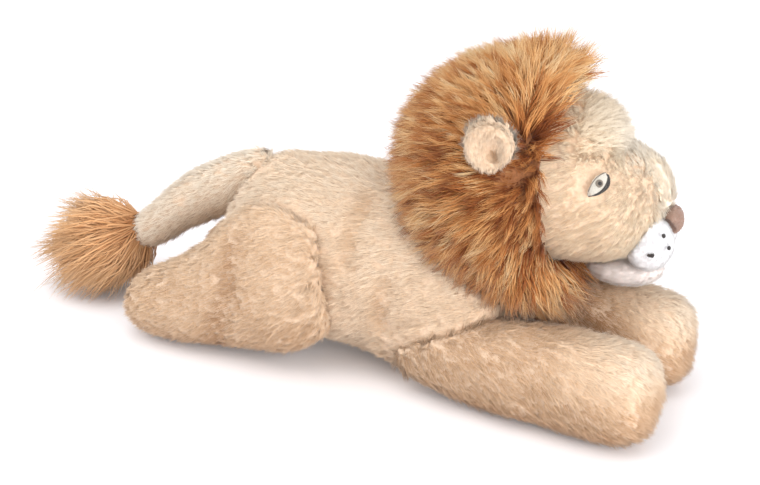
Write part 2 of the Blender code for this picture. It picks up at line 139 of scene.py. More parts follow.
def multiply(tree, first, second):
    node = tree.nodes.new("ShaderNodeMix")
    node.data_type = "RGBA"
    node.blend_type = "MULTIPLY"
    node.inputs["Factor"].default_value = 1
    tree.links.new(first, node.inputs["A"])
    tree.links.new(second, node.inputs["B"])
    return node.outputs["Result"]


def pile_material(name, tones, root_colour_and_shade, half_way=(0.95, 0.94, 0.93)):
    """Colour by tone across the strand map, darkened towards the root: partly the fibre's own darker root,
    partly painted shade deep in the pile.
    """
    material, tree, shader = new_material(name)
    uv = tree.nodes.new("ShaderNodeUVMap")
    uv.uv_map = "OFBake"
    split = tree.nodes.new("ShaderNodeSeparateXYZ")
    tree.links.new(uv.outputs["UV"], split.inputs["Vector"])
    colour = ramp(tree, split.outputs["X"], tones)
    shade = ramp(tree, split.outputs["Y"], ((0.0, root_colour_and_shade), (0.5, half_way), (1.0, (1, 1, 1))))
    tree.links.new(multiply(tree, colour, shade), shader.inputs["Base Color"])
    shader.inputs["Roughness"].default_value = 0.75
    shader.inputs["Specular IOR Level"].default_value = 0.2
    shader.inputs["Sheen Weight"].default_value = 0.15
    shader.inputs["Sheen Roughness"].default_value = 0.4
    return material


def cloth_material(name, low, high, scale=900, bump=0.25, roughness=0.9):
    """Knitted backing cloth: two tones in a fine weave, with a fine bump."""
    material, tree, shader = new_material(name)
    place = tree.nodes.new("ShaderNodeTexCoord")
    weave = tree.nodes.new("ShaderNodeTexNoise")
    weave.inputs["Scale"].default_value = scale
    weave.inputs["Detail"].default_value = 3
    tree.links.new(place.outputs["Object"], weave.inputs["Vector"])
    tree.links.new(ramp(tree, weave.outputs["Fac"], ((0.3, low), (0.7, high))), shader.inputs["Base Color"])
    raised = tree.nodes.new("ShaderNodeBump")
    raised.inputs["Strength"].default_value = bump
    raised.inputs["Distance"].default_value = 0.0004
    tree.links.new(weave.outputs["Fac"], raised.inputs["Height"])
    tree.links.new(raised.outputs["Normal"], shader.inputs["Normal"])
    shader.inputs["Roughness"].default_value = roughness
    shader.inputs["Sheen Weight"].default_value = 0.2
    return material


COAT = pile_material("coat_pile", (
    (0.0, (0.54, 0.31, 0.17)), (0.30, (0.84, 0.60, 0.40)),
    (0.60, (0.95, 0.76, 0.57)), (1.0, (0.99, 0.89, 0.75)),
), (0.86, 0.78, 0.70), (0.97, 0.955, 0.94))
FACE = pile_material("face_pile", (
    (0.0, (0.54, 0.31, 0.17)), (0.30, (0.86, 0.62, 0.41)),
    (0.60, (0.96, 0.79, 0.58)), (1.0, (0.99, 0.91, 0.79)),
), (0.86, 0.77, 0.68), (0.97, 0.955, 0.94))
WHITE = pile_material("white_pile", (
    (0.0, (0.78, 0.775, 0.78)), (0.5, (0.88, 0.875, 0.885)), (1.0, (0.93, 0.93, 0.94)),
), (0.92, 0.91, 0.91))
CHIN_PILE = pile_material("chin_pile", (
    (0.0, (0.86, 0.73, 0.67)), (0.5, (0.96, 0.88, 0.83)), (1.0, (0.98, 0.95, 0.92)),
), (0.90, 0.84, 0.82))
MANE = pile_material("mane_pile", (
    (0.0, (0.28, 0.085, 0.022)), (0.25, (0.50, 0.19, 0.055)), (0.50, (0.74, 0.36, 0.125)),
    (0.75, (0.91, 0.57, 0.260)), (1.0, (0.98, 0.77, 0.47)),
), (0.30, 0.17, 0.10), (0.76, 0.65, 0.56))
TUFT = pile_material("tuft_pile", (
    (0.0, (0.50, 0.21, 0.085)), (0.35, (0.76, 0.42, 0.195)),
    (0.7, (0.92, 0.60, 0.34)), (1.0, (0.97, 0.76, 0.54)),
), (0.56, 0.42, 0.32), (0.90, 0.85, 0.81))
NOSE_PILE = pile_material("nose_pile", (
    (0.0, (0.24, 0.11, 0.075)), (0.5, (0.42, 0.225, 0.165)), (1.0, (0.60, 0.39, 0.31)),
), (0.7, 0.65, 0.62))
COAT_CLOTH = cloth_material("coat_backing", (0.66, 0.46, 0.31), (0.80, 0.60, 0.43))
PALE_CLOTH = cloth_material("pale_backing", (0.80, 0.68, 0.53), (0.90, 0.80, 0.66))
WHITE_CLOTH = cloth_material("white_backing", (0.84, 0.83, 0.84), (0.93, 0.93, 0.94), 1500)
CHIN_CLOTH = cloth_material("chin_backing", (0.80, 0.68, 0.63), (0.90, 0.81, 0.77), 1500)
MANE_CLOTH = cloth_material("mane_backing", (0.20, 0.070, 0.022), (0.32, 0.125, 0.042))
NOSE_CLOTH = cloth_material("nose_cloth", (0.24, 0.15, 0.11), (0.38, 0.25, 0.19), 2200, 0.5, 0.7)
FIBRE = cloth_material("filling_fibre", (0.82, 0.82, 0.80), (0.95, 0.95, 0.94), 350, 0.8, 1.0)
DARK_THREAD = cloth_material("dark_thread", (0.012, 0.010, 0.009), (0.045, 0.036, 0.030), 3500, 0.3, 0.45)
PALE_THREAD = cloth_material("pale_thread", (0.52, 0.48, 0.41), (0.70, 0.66, 0.59), 3500, 0.3, 0.45)
GREY_THREAD = cloth_material("grey_brown_thread", (0.16, 0.13, 0.10), (0.28, 0.235, 0.19), 3500, 0.3, 0.45)


# Meshes

def new_object(name, mesh, material=None):
    obj = bpy.data.objects.new(name, mesh)
    bpy.context.scene.collection.objects.link(obj)
    if material:
        obj.data.materials.clear()
        obj.data.materials.append(material)
    return obj


def baked(obj):
    """The object with its modifiers turned into a plain mesh."""
    graph = bpy.context.evaluated_depsgraph_get()
    mesh = bpy.data.meshes.new_from_object(obj.evaluated_get(graph))
    obj.modifiers.clear()
    old = obj.data
    obj.data = mesh
    bpy.data.meshes.remove(old)
    mesh.name = obj.name
    return obj


def cad_copy(name, node):
    """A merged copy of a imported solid."""
    bm = bmesh.new()
    bm.from_mesh(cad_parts[node].data)
    bmesh.ops.remove_doubles(bm, verts=bm.verts, dist=1e-5)
    mesh = bpy.data.meshes.new(name)
    bm.to_mesh(mesh)
    bm.free()
    return new_object(name, mesh)


def points_of(mesh):
    values = np.empty(len(mesh.vertices) * 3, np.float32)
    mesh.vertices.foreach_get("co", values)
    return values.reshape(-1, 3)


def normals_of(mesh):
    values = np.empty(len(mesh.vertices) * 3, np.float32)
    mesh.vertex_normals.foreach_get("vector", values)
    return values.reshape(-1, 3)


def set_points(mesh, points):
    mesh.vertices.foreach_set("co", points.astype(np.float32).ravel())
    mesh.update()


def set_values(mesh, name, values):
    """A number or a vector on each point of the mesh, under a name."""
    values = np.asarray(values, np.float32)
    kind, key = ("FLOAT", "value") if values.ndim == 1 else ("FLOAT_VECTOR", "vector")
    layer = mesh.attributes.new(name, kind, "POINT")
    layer.data.foreach_set(key, values.ravel())


def unit(vectors):
    return vectors / np.maximum(np.linalg.norm(vectors, axis=-1, keepdims=True), 1e-9)


def soft_noise(points, size, seed=0.0):
    """Smooth noise from -1 to 1 whose bumps measure about size."""
    shift = Vector((seed * 3.1, seed * 1.7, seed * 2.3))
    return np.array([noise.noise(Vector(p) / size + shift) for p in points.tolist()], np.float32)


def fade(values, low, high):
    """0 below low, 1 above high, smooth between."""
    share = np.clip((values - low) / (high - low), 0, 1)
    return share * share * (3 - 2 * share)


def solid_tree(*nodes):
    """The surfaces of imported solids, to measure from."""
    bm = bmesh.new()
    for node in nodes:
        bm.from_mesh(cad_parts[node].data)
    tree = BVHTree.FromBMesh(bm)
    bm.free()
    return tree


def smoothed(obj, rounds):
    modifier = obj.modifiers.new("rounded", "SMOOTH")
    modifier.factor = 0.5
    modifier.iterations = rounds
    return baked(obj)


def fit_to_skin(mesh, skin, inset):
    """Moves the cloth to lie inside the outer face of a packed skin by an inset."""
    tree = solid_tree(skin)
    reach = 0.012
    points, normals = points_of(mesh), normals_of(mesh)
    for number, (point, normal) in enumerate(zip(points.tolist(), normals.tolist())):
        out = Vector(normal)
        hit, facing, _, _ = tree.ray_cast(Vector(point) + out * reach, -out, reach)
        if hit is not None and facing.dot(out) > 0.2:
            points[number] = hit - out * inset
        else:
            points[number] = Vector(point) + out * (SKIN_WALL - inset)
    set_points(mesh, points)


def cloth_form(name, node, material, skin=None, inset=CLOTH_INSET, voxel=CLOTH_VOXEL, rounds=4):
    """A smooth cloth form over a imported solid, fitted to its skin where it has one."""
    obj = cad_copy(name, node)
    remesh = obj.modifiers.new("even", "REMESH")
    remesh.mode = "VOXEL"
    remesh.voxel_size = voxel
    baked(obj)
    smoothed(obj, rounds)
    if skin:
        fit_to_skin(obj.data, skin, inset)
        smoothed(obj, 4)
    elif inset:
        set_points(obj.data, points_of(obj.data) - normals_of(obj.data) * inset)
    obj.data.materials.clear()
    obj.data.materials.append(material)
    obj.data.shade_smooth()
    return obj


def keep_above_floor(mesh, gap=FLOOR_GAP):
    points = points_of(mesh)
    points[:, 2] = np.maximum(points[:, 2], gap)
    set_points(mesh, points)


def crease_share(points, start, end, width):
    """1 on the line from start to end, fading to 0 about a width away."""
    run = np.array(end) - np.array(start)
    share = np.clip(((points - np.array(start)) @ run) / (run @ run), 0, 1)
    off = np.linalg.norm(points - (np.array(start) + share[:, None] * run), axis=1)
    return np.exp(-((off / width) ** 2))


def press_creases(mesh, creases):
    """Pushes valleys into the cloth, each as (points of its line, depth, width), and gives their shade."""
    points, normals = points_of(mesh), normals_of(mesh)
    shade = np.zeros(len(points), np.float32)
    push = np.zeros(len(points), np.float32)
    for line, depth, width in creases:
        share = np.zeros(len(points), np.float32)
        for start, end in zip(line, line[1:]):
            share = np.maximum(share, crease_share(points, start, end, width))
        push = push + depth * share
        if depth > 0:
            shade = np.maximum(shade, share * min(1, depth / 0.003))
    set_points(mesh, points - normals * push[:, None])
    return shade


def ruffle(mesh, depth, size, seed):
    points = points_of(mesh)
    set_points(mesh, points + normals_of(mesh) * (soft_noise(points, size, seed) * depth)[:, None])


def near_share(points, nodes, reach):
    """1 where a point lies within reach of the solids or inside them, else 0."""
    tree = solid_tree(*nodes)
    shares = np.zeros(len(points), np.float32)
    for number, point in enumerate(points.tolist()):
        spot, facing, _, gap = tree.find_nearest(Vector(point))
        inside = (Vector(point) - spot).dot(facing) < 0
        if gap < reach or (inside and gap < DEEPEST_COVERED):
            shares[number] = 1
    return shares


def swell_near(mesh, nodes, reach, height):
    """Swells the cloth into the corners beside other solids."""
    tree = solid_tree(*nodes)
    points, normals = points_of(mesh), normals_of(mesh)
    for number, point in enumerate(points.tolist()):
        spot, facing, _, gap = tree.find_nearest(Vector(point))
        if gap < reach and (Vector(point) - spot).dot(facing) > 0:
            points[number] += normals[number] * (height * (1 - gap / reach) ** 2)
    set_points(mesh, points)


def keep_outside(mesh, node, gap=FILLING_COVER):
    """Lifts the cloth off a filling wherever it comes nearer than the gap."""
    tree = solid_tree(node)
    points = points_of(mesh)
    for number, point in enumerate(points.tolist()):
        spot, facing, _, away = tree.find_nearest(Vector(point))
        off = Vector(point) - spot
        if off.dot(facing) < 0 or away < 1e-6:
            points[number] = spot + facing * gap
        elif away < gap:
            points[number] = spot + off.normalized() * gap
    set_points(mesh, points)
    cover_edges(mesh, node, gap)


def cover_edges(mesh, node, gap, spacing=0.0012, rounds=2, reach=0.0025, most=0.0009):
    """Pushes the cloth a little way out over a filling's edges where they come through between its points."""
    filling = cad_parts[node].data
    samples = []
    for edge in filling.edges:
        start, end = (filling.vertices[number].co for number in edge.vertices)
        steps = max(1, int((end - start).length / spacing))
        samples += [start.lerp(end, step / steps) for step in range(steps + 1)]
    for _ in range(rounds):
        points, normals = points_of(mesh), normals_of(mesh)
        faces = [tuple(face.vertices) for face in mesh.polygons]
        tree = BVHTree.FromPolygons(points.tolist(), faces)
        push = np.zeros(len(points), np.float32)
        for sample in samples:
            spot, facing, face, away = tree.find_nearest(sample)
            short = gap * 0.6 - (spot - sample).dot(facing)
            if short > 0 and away < reach:
                for number in faces[face]:
                    push[number] = max(push[number], min(short, most))
        if not push.any():
            break
        set_points(mesh, points + normals * push[:, None])


def sink(mesh, node, depths):
    """Shifts the cloth inwards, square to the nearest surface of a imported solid."""
    tree = solid_tree(node)
    points = points_of(mesh)
    depths = np.broadcast_to(np.asarray(depths, np.float32), (len(points),)).tolist()
    for number, point in enumerate(points.tolist()):
        _, facing, _, _ = tree.find_nearest(Vector(point))
        points[number] = Vector(point) - facing * depths[number]
    set_points(mesh, points)


# Pile

def strand_lock(name, strands, segments, radius, root_spread, tip_spread, bend, wave, shortest, seed):
    """A lock of closed tapering strands that bends towards +X, with its length as 1 along +Z."""
    chance = np.random.default_rng(seed)
    points, faces, heights, sides, tones = [], [], [], [], []
    for _ in range(strands):
        turn = chance.uniform(0, math.tau)
        reach = math.sqrt(chance.uniform(0, 1))
        root = np.array((math.cos(turn), math.sin(turn))) * reach
        length = chance.uniform(shortest, 1)
        swing = chance.normal(0, wave, 2)
        curl = bend * chance.uniform(0.5, 1.5)
        facing = chance.uniform(0, math.tau)
        tone = chance.normal(0, 1)
        first = len(points)
        for step in range(segments + 1):
            share = step / segments
            spread = root_spread + (tip_spread - root_spread) * share
            middle = root * spread + swing * math.sin(share * math.pi * 1.3)
            middle = middle + np.array((curl * share * share, 0))
            height = length * (share - 0.12 * bend * share * share)
            if step == segments:
                points.append((middle[0], middle[1], height))
                heights.append(1.0)
                sides.append(0)
                tones.append(tone)
                continue
            thick = radius * (1 - 0.65 * share * share)
            for corner in range(3):
                angle = facing + corner * math.tau / 3
                spot = middle + np.array((math.cos(angle), math.sin(angle))) * thick
                points.append((spot[0], spot[1], height))
                heights.append(share + (0.04 if step == 0 and corner == 1 else 0))
                sides.append(corner - 1)
                tones.append(tone)
        faces.append((first, first + 2, first + 1))
        for step in range(segments - 1):
            base = first + 3 * step
            for corner in range(3):
                after = (corner + 1) % 3
                faces.append((base + corner, base + after, base + 3 + after, base + 3 + corner))
        last = first + 3 * (segments - 1)
        for corner in range(3):
            faces.append((last + corner, last + (corner + 1) % 3, last + 3))
    mesh = bpy.data.meshes.new(name)
    mesh.from_pydata(points, [], faces)
    set_values(mesh, "height", heights)
    set_values(mesh, "side", sides)
    set_values(mesh, "strand_tone", tones)
    mesh.shade_smooth()
    return bpy.data.objects.new(name, mesh)


def lock_collection(name, count, **shape):
    collection = bpy.data.collections.new(name)
    for number in range(count):
        collection.objects.link(strand_lock(f"{name}_{number}", seed=SEED + number, **shape))
    return collection


SHORT_LOCKS = lock_collection(
    "short_locks", 8, strands=7, segments=1, radius=0.034, root_spread=0.26, tip_spread=0.20,
    bend=0.25, wave=0.02, shortest=0.65,
)
LONG_LOCKS = lock_collection(
    "long_locks", 10, strands=12, segments=2, radius=0.0105, root_spread=0.12, tip_spread=0.050,
    bend=0.30, wave=0.035, shortest=0.6,
)


class Tree:
    """Short calls for building a node tree."""

    def __init__(self, name):
        self.group = bpy.data.node_groups.new(name, "GeometryNodeTree")
        self.group.interface.new_socket("Geometry", in_out="OUTPUT", socket_type="NodeSocketGeometry")
        self.identifiers = {}
        self.entry = self.group.nodes.new("NodeGroupInput")

    def add_input(self, name, kind):
        socket = self.group.interface.new_socket(name, in_out="INPUT", socket_type="NodeSocket" + kind)
        self.identifiers[name] = socket.identifier

    def given(self, name):
        return self.entry.outputs[name]

    def node(self, kind, settings=None, **inputs):
        made = self.group.nodes.new(kind)
        for key, value in (settings or {}).items():
            setattr(made, key, value)
        for key, value in inputs.items():
            self.feed(made.inputs[key.replace("_", " ")], value)
        return made

    def feed(self, socket, value):
        if isinstance(value, bpy.types.NodeSocket):
            self.group.links.new(value, socket)
        else:
            socket.default_value = value

    def math(self, operation, first, second=0.0):
        made = self.node("ShaderNodeMath", {"operation": operation})
        self.feed(made.inputs[0], first)
        self.feed(made.inputs[1], second)
        return made.outputs[0]

    def vector(self, operation, first, second=(0, 0, 0)):
        made = self.node("ShaderNodeVectorMath", {"operation": operation})
        self.feed(made.inputs[0], first)
        key = 3 if operation == "SCALE" else 1
        self.feed(made.inputs[key], second)
        return made.outputs["Vector"]

    def value(self, name, kind="FLOAT"):
        made = self.node("GeometryNodeInputNamedAttribute", {"data_type": kind})
        made.inputs["Name"].default_value = name
        return made.outputs["Attribute"]

    def chance(self, low, high, seed):
        made = self.node("FunctionNodeRandomValue", {"data_type": "FLOAT"})
        for socket in made.inputs:
            if socket.name == "Min" and socket.type == "VALUE":
                socket.default_value = low
            if socket.name == "Max" and socket.type == "VALUE":
                socket.default_value = high
            if socket.name == "Seed":
                self.feed(socket, seed)
        return next(socket for socket in made.outputs if socket.type == "VALUE" and socket.enabled)

    def cloud(self, size, seed):
        """Smooth noise vectors from about -0.5 to 0.5, with bumps of a given size."""
        place = self.node("GeometryNodeInputPosition").outputs[0]
        spot = self.vector("SCALE", place, self.math("DIVIDE", 1.0, size))
        shifted = self.vector("ADD", spot, (seed, seed * 0.7, seed * 1.3))
        made = self.node("ShaderNodeTexNoise", Vector=shifted, Scale=1.0, Detail=1.0)
        return self.vector("SUBTRACT", made.outputs["Color"], (0.5, 0.5, 0.5))


def pile_tree():
    """Grows locks on a cloth form along its comb, and writes each strand's tone and height."""
    tree = Tree("pile")
    for name, kind in (
        ("Cloth", "Geometry"), ("Locks", "Collection"), ("Density", "Float"), ("Seed", "Int"),
        ("Stand", "Float"), ("Mess", "Float"), ("Clump Size", "Float"), ("Clump Pull", "Float"),
        ("Tone Spread", "Float"), ("Patch Size", "Float"), ("Patch Spread", "Float"),
        ("Softness", "Float"), ("Finish", "Material"),
    ):
        tree.add_input(name, kind)
    spread = tree.node(
        "GeometryNodeDistributePointsOnFaces", {"distribute_method": "RANDOM"},
        Mesh=tree.given("Cloth"), Seed=tree.given("Seed"),
        Density=tree.math("MULTIPLY", tree.given("Density"), tree.value("cover")),
    )
    comb = tree.value("comb", "FLOAT_VECTOR")
    kept = tree.node(
        "GeometryNodeStoreNamedAttribute", {"data_type": "FLOAT_VECTOR", "domain": "POINT"},
        Geometry=spread.outputs["Points"], Name="lie", Value=spread.outputs["Normal"],
    )
    standing = tree.vector("SCALE", tree.value("lie", "FLOAT_VECTOR"), tree.given("Stand"))
    pull = tree.vector("SCALE", tree.cloud(tree.given("Clump Size"), 3.0), tree.given("Clump Pull"))
    stray = tree.vector("SCALE", tree.cloud(0.0006, 9.0), tree.given("Mess"))
    lean = tree.vector("ADD", tree.vector("ADD", standing, comb), tree.vector("ADD", pull, stray))
    raised = tree.node("FunctionNodeAlignRotationToVector", {"axis": "Z"}, Vector=lean)
    combed = tree.node(
        "FunctionNodeAlignRotationToVector", {"axis": "X", "pivot_axis": "Z"},
        Rotation=raised.outputs["Rotation"], Vector=comb,
    )
    twist = tree.node("FunctionNodeAxisAngleToRotation", Axis=(0, 0, 1), Angle=tree.chance(-0.9, 0.9, 4))
    turned = tree.node(
        "FunctionNodeRotateRotation", {"rotation_space": "LOCAL"},
        Rotation=combed.outputs["Rotation"], Rotate_By=twist.outputs["Rotation"],
    )
    length = tree.math("MULTIPLY", tree.value("pile"), tree.chance(0.75, 1.15, 5))
    patches = tree.node("ShaderNodeSeparateXYZ", Vector=tree.cloud(tree.given("Patch Size"), 21.0))
    patch = tree.math("MULTIPLY", patches.outputs["X"], tree.given("Patch Spread"))
    own = tree.math("MULTIPLY", tree.chance(-0.5, 0.5, 6), tree.given("Tone Spread"))
    tone = tree.math("ADD", tree.value("tone"), tree.math("ADD", patch, own))
    toned = tree.node(
        "GeometryNodeStoreNamedAttribute", {"data_type": "FLOAT", "domain": "POINT"},
        Geometry=kept.outputs["Geometry"], Name="lock_tone", Value=tone,
    )
    locks = tree.node(
        "GeometryNodeCollectionInfo", {"transform_space": "ORIGINAL"}, Collection=tree.given("Locks"),
        Separate_Children=True, Reset_Children=True,
    )
    grown = tree.node(
        "GeometryNodeInstanceOnPoints", Points=toned.outputs["Geometry"],
        Instance=locks.outputs["Instances"], Pick_Instance=True,
        Rotation=turned.outputs["Rotation"], Scale=length,
    )
    real = tree.node("GeometryNodeRealizeInstances", Geometry=grown.outputs["Instances"])
    own_normal = tree.node("GeometryNodeInputNormal").outputs["Normal"]
    blend = tree.node("ShaderNodeMix", {"data_type": "VECTOR"})
    tree.feed(blend.inputs[0], tree.given("Softness"))
    tree.feed(blend.inputs[4], own_normal)
    tree.feed(blend.inputs[5], tree.value("lie", "FLOAT_VECTOR"))
    softened = tree.node(
        "GeometryNodeSetMeshNormal", {"mode": "FREE", "domain": "POINT"}, Mesh=real.outputs["Geometry"],
        Custom_Normal=tree.vector("NORMALIZE", blend.outputs[1]),
    )
    fine = tree.math("MULTIPLY", tree.value("strand_tone"), 0.05)
    across = tree.math("ADD", tree.value("lock_tone"), fine)
    limited = tree.node("ShaderNodeClamp", Value=across, Min=0.02, Max=0.98)
    u = tree.math("ADD", limited.outputs[0], tree.math("MULTIPLY", tree.value("side"), 0.008))
    v = tree.math("ADD", tree.math("MULTIPLY", tree.value("height"), 0.96), 0.02)
    place = tree.node("ShaderNodeCombineXYZ", X=u, Y=v)
    mapped = tree.node(
        "GeometryNodeStoreNamedAttribute", {"data_type": "FLOAT2", "domain": "CORNER"},
        Geometry=softened.outputs["Mesh"], Name="OFBake", Value=place.outputs[0],
    )
    finished = tree.node(
        "GeometryNodeSetMaterial", Geometry=mapped.outputs["Geometry"], Material=tree.given("Finish"),
    )
    out = tree.group.nodes.new("NodeGroupOutput")
    tree.group.links.new(finished.outputs["Geometry"], out.inputs[0])
    return tree


def stitching_tree():
    """Turns lines of edges into closed thread."""
    tree = Tree("stitching")
    for name, kind in (("Lines", "Geometry"), ("Thread Radius", "Float"), ("Finish", "Material")):
        tree.add_input(name, kind)
    lines = tree.node("GeometryNodeMeshToCurve", Mesh=tree.given("Lines"))
    round_form = tree.node("GeometryNodeCurvePrimitiveCircle", {"mode": "RADIUS"}, Resolution=6)
    tree.feed(round_form.inputs["Radius"], tree.given("Thread Radius"))
    thread = tree.node(
        "GeometryNodeCurveToMesh", Curve=lines.outputs["Curve"], Profile_Curve=round_form.outputs["Curve"],
        Fill_Caps=True,
    )
    smooth = tree.node("GeometryNodeSetShadeSmooth", Geometry=thread.outputs["Mesh"])
    real = tree.node("GeometryNodeRealizeInstances", Geometry=smooth.outputs["Geometry"])
    finished = tree.node(
        "GeometryNodeSetMaterial", Geometry=real.outputs["Geometry"], Material=tree.given("Finish"),
    )
    out = tree.group.nodes.new("NodeGroupOutput")
    tree.group.links.new(finished.outputs["Geometry"], out.inputs[0])
    return tree


PILE = pile_tree()
STITCHING = stitching_tree()


def run_tree(obj, tree, values):
    modifier = obj.modifiers.new(tree.group.name, "NODES")
    modifier.node_group = tree.group
    for key, value in values.items():
        modifier[tree.identifiers[key]] = value
    return baked(obj)


def grow_pile(name, cloth, locks, density, finish, seed=SEED, part=None, **looks):
    """The pile of one cloth form, as a plain mesh of strands."""
    settings = {
        "Stand": 0.9, "Mess": 0.5, "Clump Size": 0.008, "Clump Pull": 0.8, "Tone Spread": 0.08,
        "Patch Size": 0.022, "Patch Spread": 0.25, "Softness": 0.90,
    }
    settings.update({key.replace("_", " ").title(): value for key, value in looks.items()})
    obj = new_object(name, cloth.data.copy())
    if part is not None:
        cover = np.empty(len(obj.data.vertices), np.float32)
        obj.data.attributes["cover"].data.foreach_get("value", cover)
        obj.data.attributes["cover"].data.foreach_set("value", (cover * part).astype(np.float32))
    values = {"Locks": locks, "Density": float(density), "Seed": seed, "Finish": finish, **settings}
    run_tree(obj, PILE, values)
    for layer in ("height", "side", "strand_tone", "lock_tone", "comb", "cover", "tone", "pile", "lie"):
        if layer in obj.data.attributes:
            obj.data.attributes.remove(obj.data.attributes[layer])
    obj.data.uv_layers["OFBake"].active = True
    obj.data.uv_layers["OFBake"].active_render = True
    keep_above_floor(obj.data)
    return obj


def stitch(name, lines, radius, finish, body):
    """Thread along lines of points, riding on a body."""
    points = [tuple(point) for line in lines for point in line]
    edges, first = [], 0
    for line in lines:
        edges += [(first + step, first + step + 1) for step in range(len(line) - 1)]
        first += len(line)
    mesh = bpy.data.meshes.new(name)
    mesh.from_pydata(points, edges, [])
    obj = run_tree(new_object(name, mesh), STITCHING, {"Thread Radius": radius, "Finish": finish})
    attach(obj, body)
    return obj


def dress(cloth, comb, pile, tone, cover=1.0):
    """Writes the comb, length, tone and cover that the pile reads."""
    mesh = cloth.data
    count = len(mesh.vertices)
    normals = normals_of(mesh)
    comb = np.broadcast_to(np.asarray(comb, np.float32), (count, 3))
    along = comb - normals * (comb * normals).sum(1, keepdims=True)
    set_values(mesh, "comb", along)
    set_values(mesh, "pile", np.broadcast_to(np.asarray(pile, np.float32), (count,)))
    set_values(mesh, "tone", np.broadcast_to(np.asarray(tone, np.float32), (count,)))
    set_values(mesh, "cover", np.broadcast_to(np.asarray(cover, np.float32), (count,)))


def seat(cloth, piles, body, replaced):
    """Cloth and pile ride on one body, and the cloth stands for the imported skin."""
    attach(cloth, body)
    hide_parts(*replaced)
    for pile in piles:
        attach(pile, body)


# Coats of the trunk, the legs and the tail

def make_body():
    cloth = cloth_form("body_cloth", "body_filling", COAT_CLOTH, "body_skin")
    mesh = cloth.data
    ruffle(mesh, 0.0007, 0.018, 1)
    creases = []
    for side in (1, -1):
        creases += [
            ([(-0.026, side * 0.018, 0.083), (-0.028, side * 0.028, 0.076), (-0.029, side * 0.036, 0.060)],
             0.0050, 0.0050),
            ([(-0.0095, side * 0.037, 0.051), (-0.0115, side * 0.036, 0.031)], 0.0030, 0.0048),
            ([(-0.039, side * 0.036, 0.070), (-0.038, side * 0.040, 0.036)], 0.0016, 0.0055),
            ([(-0.019, side * 0.030, 0.072), (-0.020, side * 0.038, 0.040)], -0.0016, 0.0050),
        ]
    creases.append(([(-0.074, 0, 0.084), (-0.045, 0, 0.088)], -0.0034, 0.026))
    shade = press_creases(mesh, creases)
    swell_near(mesh, ("front_leg_left", "front_leg_right"), 0.016, 0.0050)
    swell_near(mesh, ("hind_leg_left", "hind_leg_right"), 0.012, 0.0042)
    swell_near(mesh, ("tail_skin",), 0.014, 0.0045)
    mesh = smoothed(cloth, 3).data
    keep_outside(mesh, "body_filling")
    points = points_of(mesh)
    neighbours = ("front_leg_left", "front_leg_right", "hind_leg_left", "hind_leg_right", "tail_skin", "mane")
    hidden = near_share(points, neighbours, 0.0010)
    # Painted light and shade: the coat is lighter towards the top, where the light falls, darker near the
    # floor under the belly, and darker in the pressed creases.
    tone = 0.50 + 0.14 * fade(points[:, 2], 0.03, 0.09) - 0.25 * fade(-points[:, 2], -0.022, 0.0)
    dress(cloth, (-1.0, 0, -0.35), COAT_PILE * (1 - 0.25 * hidden), tone - 0.38 * shade, 1 - 0.3 * hidden)
    left = fade(points[:, 1], -0.002, 0.002)
    piles = [
        grow_pile("body_pile_left", cloth, SHORT_LOCKS, COAT_DENSITY, COAT, SEED, left),
        grow_pile("body_pile_right", cloth, SHORT_LOCKS, COAT_DENSITY, COAT, SEED + 1, 1 - left),
    ]
    seat(cloth, piles, "torso", ["body_skin"])


def make_front_leg(side_name, side):
    name = "front_leg_" + side_name
    cloth = cloth_form(name + "_cloth", "front_leg_filling_" + side_name, COAT_CLOTH, name)
    mesh = cloth.data
    ruffle(mesh, 0.0007, 0.016, 2 + side)
    keep_outside(mesh, "front_leg_filling_" + side_name)
    mesh = smoothed(cloth, 2).data
    points = points_of(mesh)
    ahead = fade(points[:, 0], 0.06, 0.11)
    hidden = near_share(points, ("body_skin",), 0.0010)
    # Painted light and shade: the leg is lighter on the upper part of the paw, where the light falls, darker
    # near the floor, and darker on its inner side, in the shade between the legs under the mane.
    inner = fade(-side * points[:, 1], -0.022, -0.008) * (1 - ahead)
    tone = 0.19 + 0.54 * ahead * fade(points[:, 2], 0.02, 0.04) - 0.14 * fade(-points[:, 2], -0.020, 0)
    dress(cloth, (1.0, 0, -0.5), LEG_PILE * (1 - 0.25 * hidden), tone - 0.45 * inner, 1 - 0.3 * hidden)
    pile = grow_pile(
        name + "_pile", cloth, SHORT_LOCKS, COAT_DENSITY, COAT, SEED + 2, clump_size=0.009, clump_pull=1.3,
    )
    seat(cloth, [pile], name, [name])


def make_hind_leg(side_name, side):
    name = "hind_leg_" + side_name
    cloth = cloth_form(name + "_cloth", "hind_leg_filling_" + side_name, COAT_CLOTH, name)
    mesh = cloth.data
    ruffle(mesh, 0.0007, 0.016, 4 + side)
    shade = press_creases(mesh, [
        ([(-0.078, side * 0.046, 0.062), (-0.079, side * 0.054, 0.040), (-0.089, side * 0.053, 0.014),
          (-0.091, side * 0.048, 0.002)], 0.0030, 0.0060),
        ([(-0.055, side * 0.054, 0.045), (-0.060, side * 0.054, 0.035)], -0.0015, 0.018),
    ])
    keep_outside(mesh, "hind_leg_filling_" + side_name)
    mesh = smoothed(cloth, 2).data
    points = points_of(mesh)
    hidden = near_share(points, ("body_skin",), 0.0010)
    # Painted light and shade: lighter towards the top, where the light falls, darker near the floor, and
    # darker in the crease between thigh and foot.
    tone = 0.25 + 0.10 * fade(points[:, 2], 0.02, 0.06) - 0.14 * fade(-points[:, 2], -0.020, 0)
    dress(cloth, (-1.0, 0, -0.5), COAT_PILE * (1 - 0.25 * hidden), tone - 0.22 * shade, 1 - 0.3 * hidden)
    pile = grow_pile(name + "_pile", cloth, SHORT_LOCKS, COAT_DENSITY, COAT, SEED + 3)
    seat(cloth, [pile], name, [name])


